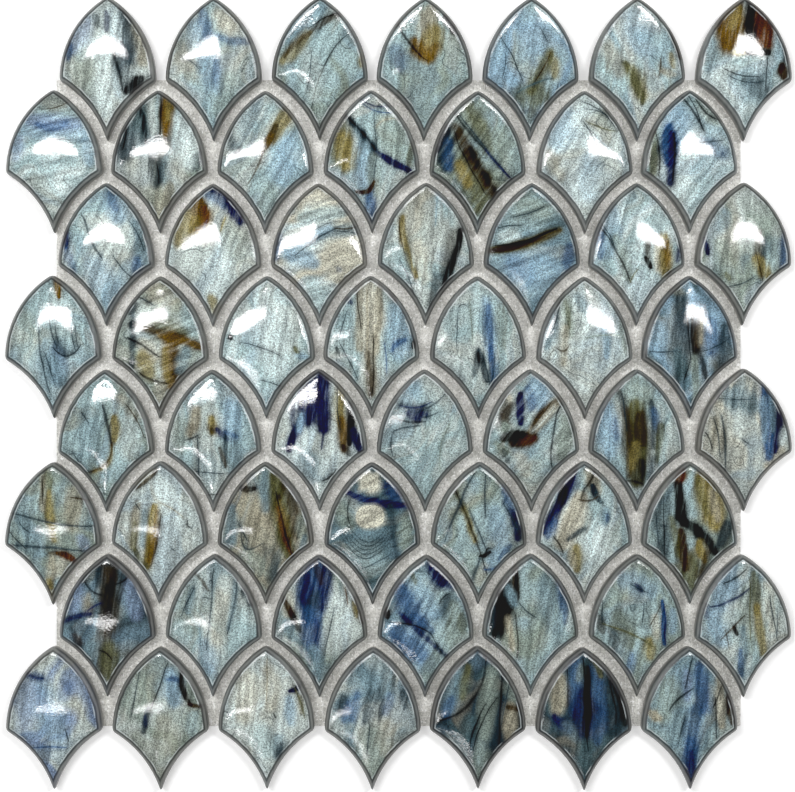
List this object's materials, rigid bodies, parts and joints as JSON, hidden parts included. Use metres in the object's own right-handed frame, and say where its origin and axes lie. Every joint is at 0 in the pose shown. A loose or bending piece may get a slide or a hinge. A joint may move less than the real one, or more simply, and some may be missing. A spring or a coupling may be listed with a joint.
{
  "type": "fish scale mosaic tile sheet",
  "caption": "Flat sheet of thick pointed fish scale glass tiles in offset rows, held at even open joints by a thin backing net for setting on a wall.",
  "frame": {"origin": "under the middle of the sheet's outline, on the underside of the backing net", "axes": "+Z out of the glass faces, +Y towards the pointed crowns, +X to the right as the sheet hangs on a wall"},
  "size_m": [0.2964, 0.3, 0.0085],
  "materials": {
    "glass": "glossy poured glass in silver blue with navy and amber streaks",
    "net": "pale grey glass-fibre net stiffened with glue"
  },
  "bodies": {
    "root": {"scale_row_1": "glass", "scale_row_2": "glass", "scale_row_3": "glass", "scale_row_4": "glass", "scale_row_5": "glass", "scale_row_6": "glass", "scale_row_7": "glass", "scale_row_8": "glass", "mesh_backing": "net"}
  },
  "joints": []
}
